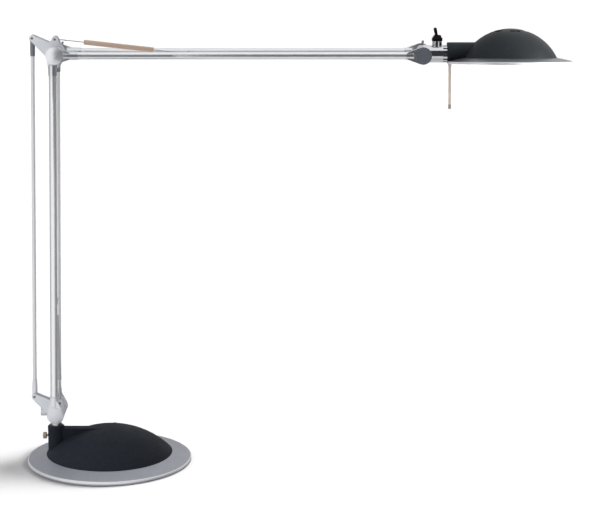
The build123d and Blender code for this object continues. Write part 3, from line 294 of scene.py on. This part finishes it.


# Drawn and anodised aluminium: bright with lines along the tube, the rear ones rougher and less
# metallic. The rear upright one is also painted paler, painted light against the front tube's shade.
UPRIGHT_LINES, LEVEL_LINES = (1, 1, 0.02), (0.02, 1, 1)
upright_tube = drawn_tube("anodised_aluminium_upright", UPRIGHT_LINES, (0.21, 0.24), 0.75)
level_tube = drawn_tube("anodised_aluminium_level", LEVEL_LINES, (0.21, 0.24), 0.8)
# Paler colour and lower metallic: painted light making up for the shade the front tube casts.
paler_lit_upright_tube = drawn_tube(
    "matt_anodised_aluminium_upright_painted_paler", UPRIGHT_LINES, (0.32, 0.38), 0.4, "#F2F3F5", "#F8F8FA",
)
dull_level_tube = drawn_tube("matt_anodised_aluminium_level", LEVEL_LINES, (0.27, 0.3), 0.6)


def pivot_caps():
    """The arm's caps: bright domed ones at the elbow, dark flat ones on the head's joint."""
    material, tree, place = blank("pressed_pivot_caps")
    middle = 0.5 * (ELBOW[0] + HEAD_PIVOT[0]) * MM
    across = add(tree, "ShaderNodeSeparateXYZ", {0: place})
    flat = add(tree, "ShaderNodeMath", {0: across, 1: middle}, operation="GREATER_THAN")
    fine = add(tree, "ShaderNodeTexNoise", {"Vector": place, "Scale": 1 / (0.6 * MM), **GRAIN})
    pale, dark = (
        add(tree, "ShaderNodeMix", {0: fine, 6: colour(main), 7: colour(fleck)}, 2, data_type="RGBA")
        for main, fleck in (("#EDEEF3", "#F5F6F8"), ("#5F676F", "#70777F"))
    )
    relief = {"Height": fine, "Distance": 0.003 * MM, "Strength": BUMP_STRENGTH}
    surface = add(tree, "ShaderNodeBsdfPrincipled", {
        "Base Color": add(tree, "ShaderNodeMix", {0: flat, 6: pale, 7: dark}, 2, data_type="RGBA"),
        "Roughness": add(tree, "ShaderNodeMapRange", {0: flat, 3: 0.42, 4: 0.46}),
        "Metallic": add(tree, "ShaderNodeMapRange", {0: flat, 3: 0.85, 4: 0.4}),
        "Normal": add(tree, "ShaderNodeBump", relief),
    })
    add(tree, "ShaderNodeOutputMaterial", {"Surface": surface})
    return material


def slot_shaded_chrome(tree, ground, slot, main, fleck, slot_shade_colour):
    """Sockets of a chromed turned piece: a mirror with a 0.4 mm grain on the given ground, and
    black painted shade where the slot's share is 1, standing for the shade inside the slot."""
    fine = add(tree, "ShaderNodeTexNoise", {"Vector": ground, "Scale": 1 / (0.4 * MM), **GRAIN})
    tones = {6: colour(main), 7: colour(fleck)}
    chrome = add(tree, "ShaderNodeMix", {0: fine, **tones}, 2, data_type="RGBA")
    tones = {6: chrome, 7: colour(slot_shade_colour)}
    return {
        "Base Color": add(tree, "ShaderNodeMix", {0: slot, **tones}, 2, data_type="RGBA"),
        "Roughness": add(tree, "ShaderNodeMapRange", {0: slot, 3: 0.14, 4: 0.6}),
        "Metallic": add(tree, "ShaderNodeMapRange", {0: slot, 3: 1.0, 4: 0.0}),
    }


def slotted_chrome():
    """Chromed barrel, turned before plating, so it has faint rings. Its slots are painted dark as
    shade.
    """
    material, tree, place = blank("chromed_turned_brass")
    ground = turned(tree, place, HEAD_PIVOT, tuple(ARM_WAY))
    reach, along, _ = add(tree, "ShaderNodeSeparateXYZ", {0: ground}, None)
    wall = (BARREL_RADIUS - SLOT_SHADE_DEPTH) * MM
    slots_start = (BARREL_LENGTH - BARREL_SLOT_LENGTH - 0.05) * MM
    inside = add(tree, "ShaderNodeMath", {0: reach, 1: wall}, operation="LESS_THAN")
    slotted = add(tree, "ShaderNodeMath", {0: along, 1: slots_start}, operation="GREATER_THAN")
    # Inside the slots the chrome is painted near black as shade.
    slot = add(tree, "ShaderNodeMath", {0: inside, 1: slotted}, operation="MULTIPLY")
    rings = add(tree, "ShaderNodeMapping", {"Vector": place, "Scale": (1, 0.05, 0.05)})
    surface = add(tree, "ShaderNodeBsdfPrincipled", {
        **slot_shaded_chrome(tree, rings, slot, "#D4D6DA", "#DEE0E3", "#161616"),
        "Normal": add(tree, "ShaderNodeBevel", {"Radius": 0.2 * MM}, samples=BEVEL_SAMPLES),
    })
    add(tree, "ShaderNodeOutputMaterial", {"Surface": surface})
    return material


def keyed_bushing():
    """Chromed switch bushing whose two key slots are painted dark as shade."""
    material, tree, place = blank("chromed_keyed_bushing")
    key_half = SWITCH_KEY / 2 * MM + 1e-4
    wall = (SWITCH_RADIUS - SLOT_SHADE_DEPTH) * MM
    across, deep, _ = add(tree, "ShaderNodeSeparateXYZ", {0: place}, None)
    aside = add(tree, "ShaderNodeMath", {0: across, 1: -SWITCH_X * MM}, operation="ADD")
    near = add(tree, "ShaderNodeMath", {0: aside, 1: 0.0, 2: key_half}, operation="COMPARE")
    deep = add(tree, "ShaderNodeMath", {0: deep}, operation="ABSOLUTE")
    sunk = add(tree, "ShaderNodeMath", {0: deep, 1: wall}, operation="LESS_THAN")
    # The key slots' faces are painted near black as shade.
    slot = add(tree, "ShaderNodeMath", {0: near, 1: sunk}, operation="MULTIPLY")
    surface = add(
        tree, "ShaderNodeBsdfPrincipled",
        slot_shaded_chrome(tree, place, slot, "#CDD0D4", "#DADCE0", "#141312"),
    )
    add(tree, "ShaderNodeOutputMaterial", {"Surface": surface})
    return material


def clear_glass():
    """Clear pressed glass, slightly green, with a faint waviness 9 mm across."""
    material, tree, place = blank("pressed_glass")
    waves = add(tree, "ShaderNodeTexNoise", {"Vector": place, "Scale": 1 / (9.0 * MM), **WAVES})
    surface = add(tree, "ShaderNodeBsdfPrincipled", {
        "Base Color": colour("#F4FAF7"), "Roughness": 0.04, "IOR": 1.5, "Transmission Weight": 1.0,
        "Normal": add(tree, "ShaderNodeBump", {
            "Height": waves, "Distance": 0.05 * MM, "Strength": 0.3,
        }),
    })
    add(tree, "ShaderNodeOutputMaterial", {"Surface": surface})
    return material


cap_metal = pivot_caps()
bushing_chrome = keyed_bushing()
barrel_chrome = slotted_chrome()
pressed_glass = clear_glass()

FINISHES = {
    rubber: ["base_pad"],
    silver_lacquer: ["base_plate"],
    grey_iron: ["ballast"],
    textured_abs: ["base_cover"],
    head_abs: ["head_cover"],
    wound_tape: ["transformer"],
    zinc_steel: [
        "base_screws", "swivel_stem", "foot_axle", "elbow_axle", "head_axle",
        "arm_spring_anchor", "post_spring_anchor", "terminal_screws", "head_spindle",
    ],
    burnished_steel: ["foot_pins", "elbow_pins"],
    drawn_rod: ["tie_rod"],
    gland_nylon: ["cord_gland"],
    black_acetal: ["swivel_bush"],
    acetal: ["foot_washers", "elbow_washers", "head_washers"],
    bronzed_brass: ["clamp_screw"],
    satin_casting: [
        "foot_casting", "elbow_casting", "tension_knob", "tie_rod_foot", "post_caps",
        "handle_socket",
    ],
    lustrous_casting: ["post_foot_front", "post_foot_rear"],
    buffed_casting: [
        "post_top_front", "post_top_rear", "arm_elbow_front", "arm_elbow_rear", "arm_end_front",
        "arm_end_rear",
    ],
    gunmetal: ["tie_rod_top"],
    barrel_chrome: ["head_barrel"],
    bushing_chrome: ["toggle_switch"],
    cap_metal: ["arm_caps"],
    upright_tube: ["post_tube_front"],
    paler_lit_upright_tube: ["post_tube_rear"],
    level_tube: ["arm_tube_front"],
    dull_level_tube: ["arm_tube_rear"],
    switch_rubber: ["switch_boot", "switch_lever"],
    flange_lacquer: ["shade", "glass_ring"],
    bright_aluminium: ["reflector"],
    steatite: ["lamp_holder"],
    pressed_glass: ["bulb", "glass_disc"],
    cream_acetal: ["handle_rod"],
    greyed_acetal: ["handle_tip"],
    spring_wire: ["arm_spring", "post_spring"],
    tan_sleeving: ["arm_spring_sleeve"],
    grey_sleeving: ["post_spring_sleeve"],
}
for material, names in FINISHES.items():
    for name in names:
        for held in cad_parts[name].material_slots:
            held.material = material


# ---- made pieces ----
def grid_faces(rows, columns):
    """Quads of a grid of rows by columns, the last column joined to the first."""
    along = np.arange(rows - 1)[:, None] * columns
    across = np.arange(columns)[None, :]
    beside = (across + 1) % columns
    corners = [along + across, along + beside, along + columns + beside, along + columns + across]
    return np.stack(corners, -1).reshape(-1, 4)


def solid(name, parts, material, body=None):
    """One object from (points in mm, quads, triangles) parts, placed in its mesh."""
    points, faces, count = [], [], 0
    for part_points, quads, triangles in parts:
        points.append(part_points * MM)
        faces += (quads + count).tolist() + (triangles + count).tolist()
        count += len(part_points)
    mesh = bpy.data.meshes.new(name)
    mesh.from_pydata(np.concatenate(points).tolist(), [], faces)
    mesh.materials.append(material)
    mesh.polygons.foreach_set("use_smooth", [True] * len(mesh.polygons))
    mesh.update()
    made = bpy.data.objects.new(name, mesh)
    bpy.context.scene.collection.objects.link(made)
    if body:
        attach(made, body)
    return made


def swept(path, radius, side, count=10):
    """Round wire along a path: point = path + radius (cos a n + sin a b), ends closed to a pole.

    n is the part of the side direction that is square to the path, and b = tangent x n.
    """
    tangent = np.gradient(path, axis=0)
    tangent /= np.linalg.norm(tangent, axis=1, keepdims=True)
    normal = side - (tangent @ side)[:, None] * tangent
    normal /= np.linalg.norm(normal, axis=1, keepdims=True)
    across = np.cross(tangent, normal)
    angle = np.linspace(0, 2 * math.pi, count, endpoint=False)[None, :, None]
    section = np.cos(angle) * normal[:, None] + np.sin(angle) * across[:, None]
    points = (path[:, None] + radius * section).reshape(-1, 3)
    last, last_row = len(points), (len(path) - 1) * count
    points = np.concatenate([points, path[:1], path[-1:]])
    step = np.arange(count)
    after = (step + 1) % count
    start = np.stack([after, step, np.full(count, last)], -1)
    end = np.stack([last_row + step, last_row + after, np.full(count, last + 1)], -1)
    return points, grid_faces(len(path), count), np.concatenate([start, end])


def eye_wire(pin, pin_radius, way, straight):
    """Open eye round a pin, then straight wire: a circle of 300 degrees, a cubic to the spring's
    own line, and a run along it to the given distance from the pin."""
    rise = np.cross(way, SIDE)
    eye = pin_radius + EYE_GAP + WIRE_RADIUS
    turn = np.radians(np.linspace(*EYE_TURN, 36))[:, None]
    loop = pin + eye * (np.cos(turn) * way + np.sin(turn) * rise)
    share = np.linspace(0, 1, 12)[1:, None]
    start, stop = loop[-1], pin + EYE_REACH * eye * way
    leave = BEND_PULL * (EYE_LEAVES[0] * way + EYE_LEAVES[1] * rise)
    arrive = BEND_PULL * way
    bend = (
        (2 * share**3 - 3 * share**2 + 1) * start + (share**3 - 2 * share**2 + share) * leave
        + (3 * share**2 - 2 * share**3) * stop + (share**3 - share**2) * arrive
    )
    run = pin + np.linspace(EYE_REACH * eye, straight, 24)[1:, None] * way
    return swept(np.concatenate([loop, bend, run]), WIRE_RADIUS, SIDE)


def ring(start, way, near, far, inner, outer, lip, count, runs=30):
    """Tube between two stations along a line, its four corners softened by a lip.

    The closed profile outside, end, inside and end is turned about the line: point = start +
    station way + radius (cos a rise + sin a side), where side is the Y axis.
    """
    rise = np.cross(way, SIDE)
    long_run = np.linspace(near + lip, far - lip, runs)
    stations = np.concatenate([[near], long_run, [far, far], long_run[::-1], [near]])
    radii = np.concatenate([
        [outer - lip], np.full(runs, outer), [outer - lip, inner + lip],
        np.full(runs, inner), [inner + lip],
    ])
    around = np.linspace(0, 2 * math.pi, count, endpoint=False)[None, :, None]
    turn = np.cos(around) * rise + np.sin(around) * SIDE
    points = (start + stations[:, None, None] * way + radii[:, None, None] * turn).reshape(-1, 3)
    closing = grid_faces(2, count)
    closing[:, 2:] += (len(stations) - 2) * count
    faces = np.concatenate([grid_faces(len(stations), count), closing[:, ::-1]])
    return points, faces, np.zeros((0, 3), int)


def balance_spring(name, hook, anchor, sleeve_ends, sleeving):
    """Wound spring and its sleeve between two pins, both left in the world frame and attached to no
    body.

    The coil is a helix about the spring's line, its turns all but touching: point = hook +
    station way + radius (cos a rise + sin a side), where the station grows with the angle a.
    """
    run = np.linalg.norm(anchor - hook)
    way = (anchor - hook) / run
    rise = np.cross(way, SIDE)
    first, last = sleeve_ends[0] + COIL_INSET, sleeve_ends[1] - COIL_INSET
    turns = (last - first) / COIL_PITCH
    angle = np.linspace(0, 2 * math.pi * turns, int(turns * COIL_STEPS))[:, None]
    helix = (
        hook + (first + (last - first) * angle / angle[-1]) * way
        + (COIL_RADIUS - WIRE_RADIUS) * (np.cos(angle) * rise + np.sin(angle) * SIDE)
    )
    coil = solid(f"{name}_coil", [
        eye_wire(hook, HOOK_PIN_RADIUS, way, first + WIRE_RADIUS),
        swept(helix, WIRE_RADIUS, way, 8),
        eye_wire(anchor, ANCHOR_PIN_RADIUS, -way, run - last + WIRE_RADIUS),
    ], spring_wire)
    sleeve = solid(f"{name}_sleeving", [
        ring(hook, way, *sleeve_ends, SLEEVE_RADIUS - SLEEVE_WALL, SLEEVE_RADIUS, 0.12, 28),
    ], sleeving)
    for made, node in ((coil, name), (sleeve, f"{name}_sleeve")):
        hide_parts(node)
        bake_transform(made)


balance_spring("arm_spring", ELBOW_HOOK, ARM_ANCHOR, ARM_SLEEVE, tan_sleeving)
balance_spring("post_spring", FOOT_HOOK, POST_ANCHOR, POST_SLEEVE, grey_sleeving)

# Black rubber friction sleeve in the barrel's groove, 0.1 mm clear of it; its black, seen through
# the slots, also stands in for the shade inside the barrel.
friction_sleeve = solid("friction_sleeve", [ring(
    HEAD_PIVOT, ARM_WAY, BARREL_LENGTH - BARREL_SLOT_LENGTH + 0.1, BARREL_LENGTH - 0.3,
    BARREL_COLLAR + 0.1, BARREL_BORE - 0.1, 0.15, 64, 4,
)], rubber, "head_joint")


# ---- stage, light and camera ----
FLOOR_HALF = 20.0
FLOOR_LIFT = 0.03
ROOM_LEVEL = 0.48
# Dark screens of the room: azimuth, elevation, degrees of full and of no shade, light left.
SCREENS = [
    (95, -10, 20, 75, 0.15),
    (0, -80, 15, 50, 0.6),
    (175, -22, 12, 42, 0.35),
    (-115, 15, 22, 75, 0.3),
]
# Cards: two corners and a colour. The first darkens the arm's tubes, the second the arm's start.
CARDS = [
    ((0.08, -0.4, 0.33), (0.6, -0.4, 1.0), "#3A3C40"),
    ((-0.065, -0.12, 0.48), (0.088, -0.12, 0.64), "#50545A"),
]
# Suns: name, azimuth, elevation, width, level, and what alone takes them. The low and the middle
# one give the base its long soft shadow.
SUNS = [
    ("key", -72, 38, 60, 0.32, None),
    ("low", 111, 13, 24, 1.1, ["floor"]),
    ("middle", 118, 26, 56, 1.25, ["floor"]),
]
SOFTBOX_PLACE = (1.05, -0.2, 0.66)
CAMERA_PLACE = (0.25706, -2.65895, 0.87368)
CAMERA_PITCH = math.radians(77.47)
CAMERA_LENS, CAMERA_SENSOR = 123.6, 36.0


def rectangle(name, corners, material):
    """One flat face between four corners."""
    mesh = bpy.data.meshes.new(name)
    mesh.from_pydata(corners, [], [(0, 1, 2, 3)])
    mesh.materials.append(material)
    made = bpy.data.objects.new(name, mesh)
    bpy.context.scene.collection.objects.link(made)
    return made


def stage_floor():
    """Pale floor that shows white where it is lit and keeps the lamp's shadow.

    What is seen straight or through glass gets a little more light, up to white. Metal sees the
    white room through the floor, and from below the floor is clear.
    """
    material, tree, _ = blank("white_paper")
    path = add(tree, "ShaderNodeLightPath", out=None)
    rays = {0: path["Is Camera Ray"], 1: path["Is Transmission Ray"]}
    seen = add(tree, "ShaderNodeMath", rays, operation="MAXIMUM")
    lift = add(tree, "ShaderNodeMath", {0: seen, 1: FLOOR_LIFT}, operation="MULTIPLY")
    lit = add(tree, "ShaderNodeBsdfDiffuse", {"Color": colour("#9B9A9B")})
    glow = add(tree, "ShaderNodeEmission", {"Strength": lift})
    both = add(tree, "ShaderNodeAddShader", {0: lit, 1: glow})
    clear = add(tree, "ShaderNodeBsdfTransparent")
    below = add(tree, "ShaderNodeNewGeometry", out="Backfacing")
    gone = add(tree, "ShaderNodeMath", {0: path["Is Glossy Ray"], 1: below}, operation="MAXIMUM")
    shown = add(tree, "ShaderNodeMixShader", {0: gone, 1: both, 2: clear})
    add(tree, "ShaderNodeOutputMaterial", {"Surface": shown})
    signs = ((-1, -1), (1, -1), (1, 1), (-1, 1))
    floor = rectangle("floor", [(x * FLOOR_HALF, y * FLOOR_HALF, 0) for x, y in signs], material)


def heading(azimuth, elevation):
    """Direction as a vector: azimuth in degrees from the front towards the head's side."""
    turn, rise = math.radians(azimuth), math.radians(elevation)
    return (math.sin(turn) * math.cos(rise), -math.cos(turn) * math.cos(rise), math.sin(rise))


def white_room():
    """World that is white to the camera and glass, a plain level to diffuse surfaces, and to
    metal a white room with dark screens in it."""
    world = bpy.data.worlds.new("white_room")
    bpy.context.scene.world = world
    world.use_nodes = True
    tree = world.node_tree
    tree.nodes.clear()
    way = add(tree, "ShaderNodeTexCoord", out="Generated")
    shown = 1.0
    for azimuth, elevation, inner, outer, left in SCREENS:
        aim = {0: way, 1: heading(azimuth, elevation)}
        near = add(tree, "ShaderNodeVectorMath", aim, "Value", operation="DOT_PRODUCT")
        screen = add(tree, "ShaderNodeMapRange", {
            0: near, 1: math.cos(math.radians(outer)), 2: math.cos(math.radians(inner)),
            3: 1.0, 4: left,
        }, interpolation_type="SMOOTHSTEP")
        shown = add(tree, "ShaderNodeMath", {0: screen, 1: shown}, operation="MULTIPLY")
    path = add(tree, "ShaderNodeLightPath", out=None)
    rays = {0: path["Is Camera Ray"], 1: path["Is Transmission Ray"]}
    metal = add(tree, "ShaderNodeMix", {0: path["Is Glossy Ray"], 2: ROOM_LEVEL, 3: shown})
    seen = add(tree, "ShaderNodeMath", rays, operation="MAXIMUM")
    level = add(tree, "ShaderNodeMix", {0: seen, 2: metal, 3: 1.0})
    sky = add(tree, "ShaderNodeBackground", {"Color": (1, 1, 1, 1), "Strength": level})
    add(tree, "ShaderNodeOutputWorld", {"Surface": sky})


def dark_card(low, high, shade):
    """Upright card between two corners, for metal to reflect: nothing else sees it."""
    (left, front, bottom), (right, _, top) = low, high
    material, tree, _ = blank("black_card")
    glow = add(tree, "ShaderNodeEmission", {"Color": colour(shade), "Strength": 1.0})
    add(tree, "ShaderNodeOutputMaterial", {"Surface": glow})
    corners = ((left, bottom), (right, bottom), (right, top), (left, top))
    card = rectangle("dark_card", [(x, front, z) for x, z in corners], material)
    for kind in ("camera", "diffuse", "transmission", "volume_scatter", "shadow"):
        setattr(card, f"visible_{kind}", False)


def soft_sun(name, azimuth, elevation, width, level):
    """Wide, even light from one direction, at a level on the floor where 1 shows white as white.
    Metal is left to reflect the room."""
    rise = math.radians(elevation)
    light = bpy.data.lights.new(name, "SUN")
    light.energy, light.angle = level * math.pi / math.sin(rise), math.radians(width)
    made = bpy.data.objects.new(name, light)
    made.rotation_euler = (math.radians(90 - elevation), 0, math.radians(azimuth))
    made.visible_glossy = False
    bpy.context.scene.collection.objects.link(made)
    return made


def softbox(place, aim, size, power):
    """Square area lamp at a place, turned to a point that it lights."""
    light = bpy.data.lights.new("softbox", "AREA")
    light.shape, light.size, light.energy = "SQUARE", size, power
    made = bpy.data.objects.new("softbox", light)
    made.location = place
    way = np.array(aim) - place
    fall = math.acos(-way[2] / np.linalg.norm(way))
    made.rotation_euler = (fall, 0, math.atan2(way[1], way[0]) - math.pi / 2)
    bpy.context.scene.collection.objects.link(made)
    return made


def linked_to(light, names):
    """The light left to shine on these objects only."""
    taken = bpy.data.collections.new(f"lit_by_{light.name}")
    for name in names:
        taken.objects.link(bpy.data.objects[name] if name == "floor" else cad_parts[name])
    light.light_linking.receiver_collection = taken


stage_floor()
white_room()
for card in CARDS:
    dark_card(*card)
for *sun, takers in SUNS:
    light = soft_sun(*sun)
    if takers:
        linked_to(light, takers)
head_lamp = softbox(SOFTBOX_PLACE, HEAD_CENTRE * MM, 0.4, 8.0)
linked_to(head_lamp, ["head_cover", "shade", "glass_ring"])

camera = bpy.data.objects.new("camera", bpy.data.cameras.new("camera"))
camera.data.sensor_width = CAMERA_SENSOR
camera.data.lens = CAMERA_LENS
camera.data.clip_end = 100.0
camera.location = CAMERA_PLACE
camera.rotation_euler = (CAMERA_PITCH, 0.0, 0.0)
bpy.context.scene.collection.objects.link(camera)
bpy.context.scene.camera = camera
bpy.context.scene.view_settings.view_transform = "Standard"
